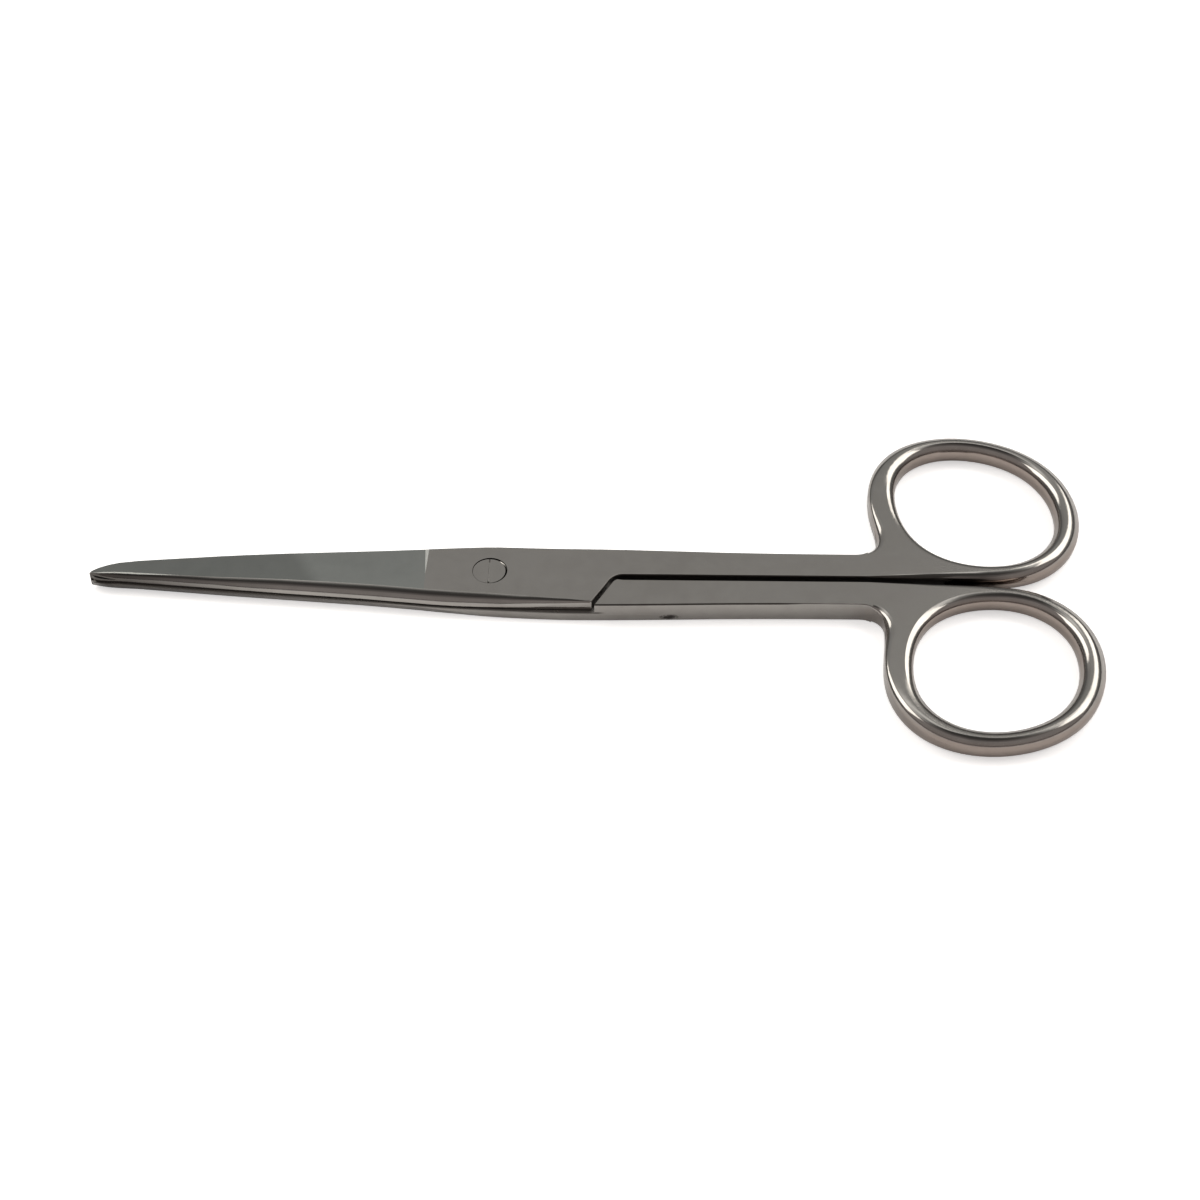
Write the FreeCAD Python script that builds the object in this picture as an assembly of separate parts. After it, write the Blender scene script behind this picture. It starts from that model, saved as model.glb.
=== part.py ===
import FreeCAD, Part
import math
import os

# First aid scissors: two forged halves and the slotted joint screw that holds them.
# Millimetres, +Z up, closed and lying flat. The origin is on the screw's axis at the resting face,
# +X runs along the shanks towards the finger rings and the tips point to -X.
# Each half is drawn about the parting plane between the shanks (y = 0 while drawing) and is
# moved at the end so that the screw's axis passes through the origin.

# Stock
thickness = 3.3
lap_clearance = 0.04
parting_gap = 0.95
edge_break = 0.18

# Joint screw and its seats
screw_offset = 1.0
head_radius = 2.45
head_land = 0.3
head_height = 0.9
journal_radius = 1.6
thread_radius = 1.35
running_clearance = 0.05
seat_clearance = 0.02
slot_width = 0.3
slot_depth = 0.45

# Shank: half width of the closed pair at three places along it
shank_front_x = 12.0
shank_front_half_width = 5.53
shank_middle_x = 34.0
shank_middle_half_width = 5.08
shank_back_half_width = 4.92

# Shoulders of the lap joint
shoulder_x = 17.7
shoulder_angle = 60.0
shoulder_gap = 0.65
shoulder_inner_radius = 2.4
shoulder_outer_radius = 1.0
spine_side_width = 4.95

# Blades. Places along them are shares of the way from the lap's toe (0) to the tip (1), and half
# widths are measured from the blade line, which swings away from the parting plane towards the tip
blade_length = 57.2
blade_lean = 1.05
blade_lean_length = 55.0
blade_half_widths = [
    (0.22, 5.4), (0.3, 5.25), (0.384, 4.8), (0.579, 3.85), (0.774, 2.82), (0.9345, 1.78),
]
spine_setback = 0.28
tip_thickness_loss = 0.42
taper_start = 0.331
grind_step = 0.08
grind_ramp_width = 0.6
grind_end_y = 0.3
grind_fade = 0.621
grind_fade_y = 4.15

# Rounded spine: radius of the rounding along the blade
spine_roundings = [
    (0.0024, 0.3), (0.064, 0.8), (0.133, 1.1), (0.21, 1.45), (0.3, 1.55), (0.482, 1.55), (0.621, 1.45),
    (0.774, 1.0), (0.886, 0.9), (0.9415, 0.85), (0.976, 0.6), (0.9944, 0.3),
]
nose_rounding = 0.45
spine_steps = 20

# Cutting bevel, as an angle to the inner face and a depth below the outer face
bevel_angle = 65.0
bevel_depths = [
    (0.119, 0.0), (0.203, 0.3), (0.273, 1.0), (0.328, 1.3), (0.482, 1.35), (0.621, 1.3), (0.83, 1.1),
    (0.9345, 0.9), (0.976, 0.7), (0.9972, 0.3),
]

# Hollow grind of the inner faces
hollow_radius = 25.0
hollow_root_depth = 0.12
hollow_tip_depth = 0.03
hollow_root = 0.37
hollow_tip = 0.955

# Finger rings
ring_x = 70.37
ring_radius = 13.54
ring_oval = 0.56
ring_egg = 0.10
ring_square = 0.17
rod_half_width = 1.71
rod_widening = 0.19
rod_root_widening = 0.11
ring_inner_rounding = 1.3
ring_outer_rounding = 1.4
ring_full_rounding = 0.75
arm_rounding = 0.7
arm_waist = 0.56
arm_corner_radius = 3.2
arm_corner_rounding = 1.2
start_rounding = 0.1
ring_steps = 16
ring_start = -86
ring_end = 178
ring_step = 12

half_thickness = thickness / 2.0
lap_z = half_thickness + lap_clearance / 2.0
parting_y = parting_gap / 2.0
tip_x = -blade_length
toe_x = shoulder_x - (spine_side_width + parting_y) / math.tan(math.radians(shoulder_angle))
taper_start_x = toe_x + (tip_x - toe_x) * taper_start
taper_length = taper_start_x - tip_x
taper_radius = (taper_length ** 2 + tip_thickness_loss ** 2) / (2 * tip_thickness_loss)
beside = 2 * shank_front_half_width

# How the cutters are made: bands across a rounded edge, the hair by which they stand off a face
# that they would otherwise only touch, and how far they run past the part
rounding_bands = 5
cutter_lift = 0.003
past_part = 5.0
reach = 200.0
on_edge = 0.001


def vec(x, y, z=0.0):
    return FreeCAD.Vector(x, y, z)


def line(start, end):
    return Part.LineSegment(start, end).toShape()


def arc(start, middle, end):
    return Part.Arc(start, middle, end).toShape()


def spline(points, tangents=None):
    curve = Part.BSplineCurve()
    if tangents:
        curve.interpolate(Points=points, InitialTangent=tangents[0], FinalTangent=tangents[1])
    else:
        curve.interpolate(Points=points)
    return curve.toShape()


def prism(edges, low, high):
    face = Part.Face(Part.Wire(Part.__sortEdges__(edges)))
    face.translate(vec(0, 0, low))
    return face.extrude(vec(0, 0, high - low))


def corner_arc(before, corner, after, radius):
    """Tangent arc of a given radius between the straight runs before-corner and corner-after."""
    back = (before - corner).normalize()
    ahead = (after - corner).normalize()
    half_angle = back.getAngle(ahead) / 2.0
    run = radius / math.tan(half_angle)
    start = corner + back * run
    end = corner + ahead * run
    bisector = (back + ahead).normalize()
    middle = corner + bisector * (radius / math.sin(half_angle) - radius)
    return start, middle, end


def blade_line(x, lean):
    """Distance of the blade line from the parting plane."""
    share = min(max((shank_front_x - x) / blade_lean_length, 0.0), 1.0)
    return lean * blade_lean * math.sin(math.pi / 2.0 * share)


def outer_face_z(x):
    """Height of the outer face, which is ground down along a long arc from the joint to the tip."""
    along = max(taper_start_x - x, 0.0)
    return thickness - taper_radius + math.sqrt(taper_radius ** 2 - along ** 2)


def along_blade(share):
    """x at a share of the way from the lap's toe to the tip."""
    return toe_x + (tip_x - toe_x) * share


def ring_mean_radius(angle):
    oval = -ring_oval * math.sin(2 * angle)
    egg = ring_egg * math.cos(3 * angle)
    square = -ring_square * math.cos(4 * angle)
    return ring_radius + oval + egg + square


def rod_width(angle):
    return rod_half_width + rod_widening * math.cos(2 * angle) - rod_root_widening * math.cos(angle)


def ring_reach(degrees):
    """Distance of the ring's outer outline from its centre."""
    angle = math.radians(degrees)
    return ring_mean_radius(angle) + rod_width(angle)


ring_y = parting_y + ring_reach(-90)
arm_x = ring_x - ring_reach(180) + arm_waist


def ring_point(degrees, side):
    """Point on the ring's outer (side 1) or inner (side -1) outline."""
    angle = math.radians(degrees)
    radius = ring_mean_radius(angle) + side * rod_width(angle)
    return vec(ring_x + radius * math.cos(angle), ring_y + radius * math.sin(angle))


def ring_way(degrees, side):
    """Direction in which the ring's outer or inner outline runs."""
    return ring_point(degrees + 1, side) - ring_point(degrees - 1, side)


def blade_side(lean, side, setback):
    """Points of the cutting side (1) or the spine side (-1) of the blade, from the joint to the tip."""
    points = []
    for share, width in blade_half_widths:
        x = along_blade(share)
        points.append(vec(x, blade_line(x, lean) + side * (width - setback)))
    return points


def half_outline(lean):
    """Closed outline of one half, seen from the side of its own blade's outer face."""
    back_y = shank_back_half_width
    corner_start = vec(arm_x, back_y + arm_corner_radius)
    corner_end = vec(arm_x - arm_corner_radius, back_y)
    bend = arm_corner_radius * (1 - math.sqrt(0.5))
    corner_middle = vec(arm_x - bend, back_y + bend)
    shank_front = vec(shank_front_x, shank_front_half_width)
    shank_middle = vec(shank_middle_x, shank_middle_half_width)
    cutting = blade_side(lean, 1, 0)
    spine = blade_side(lean, -1, spine_setback)
    nose = vec(tip_x, (cutting[-1].y + spine[-1].y) / 2.0)
    toe = vec(toe_x, -spine_side_width)
    root = vec(shoulder_x, parting_y)
    ring_run = [ring_point(degrees, 1) for degrees in range(ring_start, ring_end + 1, ring_step)]
    back = vec(ring_x, parting_y)
    step_start, step_middle, step_end = corner_arc(toe, root, back, shoulder_inner_radius)
    ease = vec(corner_end.x, parting_y)
    edges = {}
    edges["parting"] = line(step_end, ease)
    edges["parting_back"] = line(ease, ring_run[0])
    edges["ring"] = spline(ring_run)
    edges["arm"] = spline([ring_run[-1], corner_start], [ring_way(ring_end, 1), vec(0, -1)])
    edges["arm_corner"] = arc(corner_start, corner_middle, corner_end)
    edges["shank"] = spline([corner_end, shank_middle, shank_front], [vec(-1, 0), vec(-1, 0)])
    edges["cutting"] = spline([shank_front] + cutting, [vec(-1, 0), cutting[-1] - cutting[-2]])
    edges["nose_far"] = spline([cutting[-1], nose], [cutting[-1] - cutting[-2], vec(0, -1)])
    edges["nose_near"] = spline([nose, spine[-1]], [vec(0, -1), spine[-2] - spine[-1]])
    spine_front = vec(shank_front_x, -spine_side_width)
    back_run = list(reversed(spine)) + [spine_front]
    edges["spine"] = spline(back_run, [spine[-2] - spine[-1], vec(1, 0)])
    edges["toe"] = line(spine_front, toe)
    edges["step"] = line(toe, step_start)
    edges["step_corner"] = arc(step_start, step_middle, step_end)
    return edges


def edge_over(shape, outline_edge, top):
    """The solid's edge that lies over an outline edge, on the top or the bottom face."""
    middle = outline_edge.valueAt((outline_edge.FirstParameter + outline_edge.LastParameter) / 2.0)
    probe = Part.Vertex(vec(middle.x, middle.y, outer_face_z(middle.x) if top else 0.0))
    for edge in shape.Edges:
        ends = [vertex.Point for vertex in edge.Vertexes]
        on_face = all(abs(end.z - (outer_face_z(end.x) if top else 0.0)) < on_edge for end in ends)
        if on_face and edge.distToShape(probe)[0] < on_edge:
            return edge
    raise ValueError("no edge near %s" % middle)


def rail_face(first, second):
    """Ruled surface between two curves that share their knots."""
    poles = [list(pair) for pair in zip(first.getPoles(), second.getPoles())]
    surface = Part.BSplineSurface()
    surface.buildFromPolesMultsKnots(
        poles, first.getMultiplicities(), [2, 2], first.getKnots(), [0.0, 1.0],
        first.isPeriodic(), False, first.Degree, 1,
    )
    return surface.toShape()


def rail_solid(sections, closed=False):
    """Solid whose long sides are ruled between curves through the corners of its sections.

    An open run is capped by its two end sections. A closed one is a plug: its first and last
    curves bound the flat ends and are not joined to each other."""
    loop = sections + sections[:1] if closed else sections
    parameters = [0.0]
    for before, after in zip(loop, loop[1:]):
        parameters.append(parameters[-1] + (after[0] - before[0]).Length)
    rails = []
    for points in zip(*sections):
        rail = Part.BSplineCurve()
        rail.interpolate(Points=list(points), Parameters=parameters, PeriodicFlag=closed)
        rails.append(rail)
    following = rails[1:] if closed else rails[1:] + rails[:1]
    faces = [rail_face(first, second) for first, second in zip(rails, following)]
    if closed:
        caps = [Part.Face(Part.Wire([rail.toShape()])) for rail in (rails[0], rails[-1])]
    else:
        caps = []
        for section in (sections[0], sections[-1]):
            caps.append(Part.Face(Part.makePolygon(section + section[:1])))
    shell = Part.makeShell(faces + caps)
    shell.sewShape()
    solid = Part.makeSolid(shell)
    if solid.Volume < 0:
        solid.reverse()
    return solid


def crossing_y(edges, x):
    """y at which the first of some outline edges crosses a given x."""
    probe = Part.LineSegment(vec(x, -beside), vec(x, beside))
    for edge in edges:
        box = edge.BoundBox
        if box.XMin <= x <= box.XMax:
            return edge.Curve.intersectCC(probe)[0].Y
    raise ValueError("no edge crosses x = %s" % x)


def reading_at(stations, share):
    """Straight-line reading between (share, value) stations."""
    value = stations[-1][1]
    for (before, low), (after, high) in zip(stations, stations[1:]):
        if before <= share < after:
            value = low + (high - low) * (share - before) / (after - before)
    return value


def even_shares(stations, count):
    """Evenly spaced shares from the first to the last station."""
    first = stations[0][0]
    last = stations[-1][0]
    return [first + (last - first) * index / count for index in range(count + 1)]


def rounding(wall, outward, top_z, radius, height):
    """Points of a rounded edge from the wall up to the top face, in the plane across that edge.

    It stands off both faces by a hair, so that it crosses each of them in one clean line."""
    points = []
    for step in range(rounding_bands + 1):
        angle = math.pi / 2.0 * step / rounding_bands
        inward = radius * (1 - math.cos(angle)) - cutter_lift
        drop = height * (1 - math.sin(angle)) - cutter_lift
        points.append(vec(wall.x - outward.x * inward, wall.y - outward.y * inward, top_z - drop))
    return points


def rounding_section(wall, outward, top_z, radius, height):
    """Section of the space outside a rounded edge."""
    margin = 0.6
    edge = rounding(wall, outward, top_z, radius, height)
    outer = vec(wall.x + outward.x * margin, wall.y + outward.y * margin, edge[0].z)
    above = vec(0, 0, top_z + margin - edge[-1].z)
    return edge + [edge[-1] + above, vec(outer.x, outer.y, top_z + margin), outer]


def grip_tool(outline):
    """Space outside the rounded outer edge of the ring and its arms, for the top face.

    Each run has an outline edge, the shares of it between which it lies, the radius of the
    rounding at both ends and its number of steps."""
    ring_edge = outline["ring"]
    full = ring_full_rounding
    runs = [
        (outline["parting_back"], 0.0, 1.0, start_rounding, ring_outer_rounding, 3),
        (ring_edge, 0.0, full, ring_outer_rounding, ring_outer_rounding, 9),
        (ring_edge, full, 1.0, ring_outer_rounding, arm_rounding, 3),
        (outline["arm"], 0.0, 1.0, arm_rounding, arm_corner_rounding, 2),
        (outline["arm_corner"], 0.0, 1.0, arm_corner_rounding, start_rounding, 3),
    ]
    sections = []
    for edge, begin, end, first, last, steps in runs:
        for step in range(steps):
            share = step / steps
            place = begin + (end - begin) * share
            position = edge.FirstParameter + place * (edge.LastParameter - edge.FirstParameter)
            way = edge.tangentAt(position)
            radius = first + (last - first) * share
            outward = vec(way.y, -way.x)
            sections.append(rounding_section(edge.valueAt(position), outward, thickness, radius, radius))
    return rail_solid(sections)


def ring_hole():
    """Plug with the shape of the ring's opening, wider at both faces by the rounding of its rim."""
    sections = []
    for step in range(ring_steps):
        degrees = 360.0 * step / ring_steps
        wall = ring_point(degrees, -1)
        way = ring_way(degrees, -1)
        outward = vec(-way.y, way.x).normalize()
        upper = rounding(wall, outward, thickness, ring_inner_rounding, ring_inner_rounding)
        lower = [vec(point.x, point.y, thickness - point.z) for point in upper]
        sections.append(lower[::-1] + upper)
    return rail_solid(sections, closed=True)


def taper_tool():
    """Space above the long arc to which the blade's outer face is ground."""
    centre_z = thickness - taper_radius
    far_x = tip_x - past_part
    middle_x = (taper_start_x + far_x) / 2.0
    points = []
    for x in (taper_start_x, middle_x, far_x):
        along = taper_start_x - x
        points.append(vec(x, -beside, centre_z + math.sqrt(taper_radius ** 2 - along ** 2)))
    top = thickness + past_part
    face_edges = [
        arc(points[0], points[1], points[2]),
        line(points[2], vec(far_x, -beside, top)),
        line(vec(far_x, -beside, top), vec(taper_start_x, -beside, top)),
        line(vec(taper_start_x, -beside, top), points[0]),
    ]
    face = Part.Face(Part.Wire(face_edges))
    return face.extrude(vec(0, 2 * beside, 0))


def space_above(corner, along, across):
    """Large block that stands on the plane through a corner and two more points."""
    first = along - corner
    second = across - corner
    normal = first.cross(second).normalize()
    if normal.z < 0:
        normal = normal * -1
    block = Part.makeBox(reach, reach, reach, vec(-reach / 2, -reach / 2, 0))
    block.Placement = FreeCAD.Placement(corner, FreeCAD.Rotation(vec(0, 0, 1), normal))
    return block


def grind_step_tool(lean):
    """Space above the blade's ground face and the short ramp where that grinding starts."""
    far_y = shank_front_half_width
    start = vec(taper_start_x, grind_end_y * lean, thickness)
    ramp_top = vec(taper_start_x + grind_ramp_width / 2.0, far_y, thickness)
    ramp_foot = vec(taper_start_x - grind_ramp_width / 2.0, far_y, thickness - grind_step)
    fade_x = along_blade(grind_fade)
    fade = vec(fade_x, grind_fade_y, outer_face_z(fade_x))
    ground = space_above(start, ramp_foot, fade)
    ramp = space_above(start, ramp_top, ramp_foot)
    return ground.common(ramp)


def lap_recess():
    """Space below the lap and in front of the shoulder, where the other half lies."""
    slope = math.tan(math.radians(shoulder_angle))
    gap_along_x = shoulder_gap / math.sin(math.radians(shoulder_angle))
    corner_x = shoulder_x + gap_along_x - parting_gap / slope
    corner = vec(corner_x, parting_y)
    far = vec(corner_x - (beside - parting_y) / slope, beside)
    ahead = vec(corner_x + past_part, parting_y)
    start, middle, end = corner_arc(far, corner, ahead, shoulder_outer_radius)
    low_corner = vec(end.x, -beside)
    tip_low = vec(tip_x - past_part, -beside)
    tip_high = vec(tip_x - past_part, beside)
    edges = [
        line(far, start),
        arc(start, middle, end),
        line(end, low_corner),
        line(low_corner, tip_low),
        line(tip_low, tip_high),
        line(tip_high, far),
    ]
    return prism(edges, -past_part, lap_z)


def spine_tool(outline):
    """Space outside the rounded spine, which grows from the lap's toe and shrinks again at the tip."""
    side_edges = [outline["toe"], outline["spine"], outline["nose_near"]]
    sections = []
    for share in even_shares(spine_roundings, spine_steps):
        x = along_blade(share)
        radius = reading_at(spine_roundings, share)
        wall = vec(x, crossing_y(side_edges, x))
        height = max(radius, nose_rounding)
        sections.append(rounding_section(wall, vec(0, -1), outer_face_z(x), radius, height))
    return rail_solid(sections)


def bevel_tool(outline):
    """Space outside the cutting bevel, a long wedge that runs out towards the joint."""
    slope = math.tan(math.radians(bevel_angle))
    overlap = 1.0
    sections = []
    for share in even_shares(bevel_depths, spine_steps):
        x = along_blade(share)
        depth = reading_at(bevel_depths, share)
        wall_y = crossing_y([outline["cutting"], outline["nose_far"]], x)
        low_z = outer_face_z(x) - depth
        high_z = outer_face_z(x) + overlap
        low = vec(x, wall_y + overlap, low_z - overlap * slope)
        high = vec(x, wall_y - (high_z - low_z) / slope, high_z)
        sections.append([low, high, vec(x, low.y, high_z)])
    return rail_solid(sections)


def hollow_tool(lean):
    """Cylinder whose side hollows the blade's inner face, deeper at the joint than at the tip."""
    root_x = along_blade(hollow_root)
    tip_end_x = along_blade(hollow_tip)
    root = vec(root_x, blade_line(root_x, lean), lap_z - hollow_radius + hollow_root_depth)
    tip = vec(tip_end_x, blade_line(tip_end_x, lean), lap_z - hollow_radius + hollow_tip_depth)
    way = tip - root
    return Part.makeCylinder(hollow_radius, way.Length, root, way)


def half(lean):
    """One half with its blade's outer face up. lean is 1 for the upper half and -1 for the lower."""
    outline = half_outline(lean)
    solid = prism(list(outline.values()), 0, thickness)
    solid = solid.cut(ring_hole())
    solid = solid.cut(taper_tool())
    broken = [edge_over(solid, outline["shank"], top) for top in (True, False)]
    solid = solid.makeFillet(edge_break, broken)
    grip = grip_tool(outline)
    underside = grip.mirror(vec(0, 0, half_thickness), vec(0, 0, 1))
    solid = solid.cut(grip).cut(underside)
    solid = solid.cut(lap_recess())
    solid = solid.cut(spine_tool(outline))
    solid = solid.cut(bevel_tool(outline))
    solid = solid.cut(grind_step_tool(lean))
    solid = solid.cut(hollow_tool(lean))
    return solid


def turned(profile):
    """Solid of revolution about Z from (radius, z) points that start and end on the axis."""
    points = [vec(radius, 0, z) for radius, z in profile]
    outline = Part.makePolygon(points + [points[0]])
    return Part.Face(outline).revolve(vec(0, 0, 0), vec(0, 0, 1), 360)


def screw_seat():
    """Countersunk seat and journal bore of the upper half, standing on the origin."""
    head = head_radius + running_clearance
    journal = journal_radius + running_clearance
    land_z = thickness - head_land
    cone_z = thickness - head_height
    above = thickness + past_part
    return turned([(0, 0), (journal, 0), (journal, cone_z), (head, land_z), (head, above), (0, above)])


def threaded_hole():
    return Part.makeCylinder(thread_radius + seat_clearance, reach, vec(0, 0, -reach / 2))


def joint_screw():
    """Countersunk head, plain journal and the threaded end, which is ground flush underneath."""
    land_z = thickness - head_land
    cone_z = thickness - head_height
    shoulder_z = half_thickness
    profile = [
        (0, 0),
        (thread_radius, 0),
        (thread_radius, shoulder_z),
        (journal_radius, shoulder_z),
        (journal_radius, cone_z),
        (head_radius, land_z),
        (head_radius, thickness),
        (0, thickness),
    ]
    slot = Part.makeBox(slot_width, 4 * head_radius, slot_depth + past_part)
    slot.translate(vec(-slot_width / 2, -2 * head_radius, thickness - slot_depth))
    return turned(profile).cut(slot)


screw_place = vec(0, screw_offset, 0)

upper_half = half(1)
seat = screw_seat()
seat.translate(screw_place)
upper_half = upper_half.cut(seat)

lower_half = half(-1)
lower_half.rotate(vec(0, 0, half_thickness), vec(1, 0, 0), 180)
hole = threaded_hole()
hole.translate(screw_place)
lower_half = lower_half.cut(hole)

screw = joint_screw()
screw.translate(screw_place)

os.makedirs("parts", exist_ok=True)
for name, shape in (("upper_half", upper_half), ("lower_half", lower_half), ("joint_screw", screw)):
    shape.translate(vec(0, -screw_offset, 0))
    shape.exportStep("parts/%s.step" % name)
    box = shape.BoundBox
    size = [round(length, 2) for length in (box.XLength, box.YLength, box.ZLength)]
    print(name, "valid", shape.isValid(), "solids", len(shape.Solids), "mm3", round(shape.Volume, 1))
    print("  size", size)
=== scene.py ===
# %% [markdown]
# # First aid scissors
#
# A pair of straight scissors with finger rings lies closed on a white table. Two forged halves cross
# under a flush slotted screw. The construction comes ready made as a frame of three nodes, and this
# lesson gives it its looks: smooth shading, ground and polished steel, marks of use, light and camera.
# Everything is in metres, with the screw's axis on the Z axis and the table at z = 0.

# %% Load the frame
import bmesh
import bpy
import math
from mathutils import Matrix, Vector


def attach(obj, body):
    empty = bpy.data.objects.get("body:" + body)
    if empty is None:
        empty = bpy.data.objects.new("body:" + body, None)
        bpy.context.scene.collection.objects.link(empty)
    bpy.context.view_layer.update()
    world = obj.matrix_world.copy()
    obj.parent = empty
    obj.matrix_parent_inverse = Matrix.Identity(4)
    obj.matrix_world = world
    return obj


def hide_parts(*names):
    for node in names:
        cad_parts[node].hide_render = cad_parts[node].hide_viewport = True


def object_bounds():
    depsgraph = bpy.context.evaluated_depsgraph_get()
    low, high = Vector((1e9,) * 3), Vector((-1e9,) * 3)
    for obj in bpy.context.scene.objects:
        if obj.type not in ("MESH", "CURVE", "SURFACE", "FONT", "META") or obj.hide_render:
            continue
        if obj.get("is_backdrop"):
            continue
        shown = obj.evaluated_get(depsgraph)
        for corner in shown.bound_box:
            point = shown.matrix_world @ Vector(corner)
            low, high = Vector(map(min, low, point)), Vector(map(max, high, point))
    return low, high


mm = 0.001

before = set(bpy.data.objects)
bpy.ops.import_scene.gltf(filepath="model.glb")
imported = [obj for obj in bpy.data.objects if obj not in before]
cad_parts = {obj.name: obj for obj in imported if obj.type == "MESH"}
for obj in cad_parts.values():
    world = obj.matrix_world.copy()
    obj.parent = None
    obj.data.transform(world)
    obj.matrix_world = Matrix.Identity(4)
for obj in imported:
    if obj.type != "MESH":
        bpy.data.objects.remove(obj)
frame_low, frame_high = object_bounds()
length = frame_high[0] - frame_low[0]
print("nodes:", sorted(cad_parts), "length in mm:", round(length / mm, 1))

# %% [markdown]
# ## Camera
#
# The scissors are seen from the front, a little above 45 degrees, from about a third of a metre away.
# From there the far ring looks nearly as large as the near one, and a long lens fills the picture. The
# camera could follow an empty target with a constraint. It never moves, so it is turned once, towards
# a point on the shanks close to the joint.

# %% Place the camera
camera_place = Vector((0.01855, -0.22167, 0.23508))
camera_aim = Vector((0.01574, -0.00248, 0.0))
camera_lens = 67.5
film_width = 36.0
nearest_seen = 10 * mm

camera_data = bpy.data.cameras.new("camera")
camera_data.lens = camera_lens
camera_data.sensor_width = film_width
camera_data.clip_start = nearest_seen
camera = bpy.data.objects.new("camera", camera_data)
camera.location = camera_place
camera.rotation_euler = (camera_aim - camera_place).to_track_quat("-Z", "Y").to_euler()
bpy.context.scene.collection.objects.link(camera)
bpy.context.scene.camera = camera
print("camera distance in mm:", round((camera_aim - camera_place).length / mm))

# %% [markdown]
# The default view transform squeezes bright colours together, as film does. The lamps here are set so
# that a colour renders about as it is written, and the Standard transform shows it that way.

# %% Show colours as they are written
bpy.context.scene.view_settings.view_transform = "Standard"
print("view transform:", bpy.context.scene.view_settings.view_transform)

# %% [markdown]
# ## Helpers for node trees
#
# Materials, the world and node groups are all trees of nodes. A tree could be built in the editor, but
# a script says what it holds. Four small helpers keep that short: one places a node, one links pairs
# of sockets, one is a Math node, and one is a Map Range node, which fades a value over a distance.

# %% Helpers for node trees
sheet_step = 200


def add_node(tree, kind, place, **settings):
    """A new node of a kind, placed on the sheet, with its settings."""
    node = tree.nodes.new(kind)
    node.location = (place[0] * sheet_step, place[1] * sheet_step)
    for name, value in settings.items():
        setattr(node, name, value)
    return node


def connect(tree, *pairs):
    """Links each output to its input."""
    for source, target in pairs:
        tree.links.new(source, target)


def combine(tree, place, operation, *values):
    """Output of a Math node. Each value is an output of another node or a number."""
    node = add_node(tree, "ShaderNodeMath", place, operation=operation)
    for socket, value in zip(node.inputs, values):
        if isinstance(value, bpy.types.NodeSocket):
            tree.links.new(value, socket)
        else:
            socket.default_value = value
    return node.outputs[0]


def fade(tree, place, value, start, stop, before=0.0, after=1.0, **settings):
    """Output that goes from before to after while the value goes from start to stop."""
    node = add_node(tree, "ShaderNodeMapRange", place, **settings)
    node.inputs["From Min"].default_value = start
    node.inputs["From Max"].default_value = stop
    node.inputs["To Min"].default_value = before
    node.inputs["To Max"].default_value = after
    tree.links.new(value, node.inputs["Value"])
    return node.outputs["Result"]


print("helpers:", add_node.__name__, connect.__name__, combine.__name__, fade.__name__)

# %% [markdown]
# ## Table
#
# Polished steel shows what stands around it, so the table matters as much as the lamps: the steep
# walls of the shanks and rings are a mirror for it. It is one large sheet of white paper, made from a
# grid with a single face.

# %% Lay the table
table_half = 3.0
table_drop = 0.02 * mm

table_mesh = bpy.data.meshes.new("table")
sheet = bmesh.new()
bmesh.ops.create_grid(sheet, x_segments=1, y_segments=1, size=table_half)
bmesh.ops.translate(sheet, verts=sheet.verts, vec=(0, 0, -table_drop))
sheet.to_mesh(table_mesh)
sheet.free()
table = bpy.data.objects.new("table", table_mesh)
bpy.context.scene.collection.objects.link(table)
table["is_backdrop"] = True
print("table of", table_half * 2, "m")

# %% [markdown]
# The camera sees the paper lighter than the lamps alone would leave it, and the steel sees it a little
# lighter, so that it reads as white and still takes the shadow. More light would do the same to the
# table, but would bleach the steel too. So a glow is added to the paper's diffuse shader, and the
# Light Path node gives it only to camera rays and to reflections.

# %% White paper
table_colour = (0.95, 0.95, 0.955, 1)
camera_lift = 0.5
steel_lift = 0.1

paper = bpy.data.materials.new("white paper")
paper.use_nodes = True
tree = paper.node_tree
tree.nodes.clear()
seen = add_node(tree, "ShaderNodeLightPath", (-4, 1))
for_camera = combine(tree, (-3, 1), "MULTIPLY", seen.outputs["Is Camera Ray"], camera_lift)
lift = combine(tree, (-2, 1), "MULTIPLY_ADD", seen.outputs["Is Glossy Ray"], steel_lift, for_camera)
fibre = add_node(tree, "ShaderNodeBsdfDiffuse", (-1, -1))
fibre.inputs["Color"].default_value = table_colour
glow = add_node(tree, "ShaderNodeEmission", (-1, 1))
both = add_node(tree, "ShaderNodeAddShader", (0, 0))
output = add_node(tree, "ShaderNodeOutputMaterial", (1, 0))
connect(
    tree,
    (lift, glow.inputs["Strength"]),
    (glow.outputs[0], both.inputs[0]),
    (fibre.outputs[0], both.inputs[1]),
    (both.outputs[0], output.inputs["Surface"]),
)
table_mesh.materials.append(paper)
print("paper lifted by", camera_lift, "for the camera and by", steel_lift, "in the steel")

# %% [markdown]
# ## Light
#
# The flat tops mirror the room at half height behind the table and are an even middle grey. The
# roundings turn dark where they mirror the ceiling, so the room is dim overhead. Behind the table it is
# dim near the horizon too, and a narrow bright band higher up gives the gentle tilts their gleam. In
# front it is lightest at the horizon, which the steep part of a rounding mirrors. A picture of a room
# could light the steel as well, but two colour ramps over the height on the sky say plainly where the
# light comes from.

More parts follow.
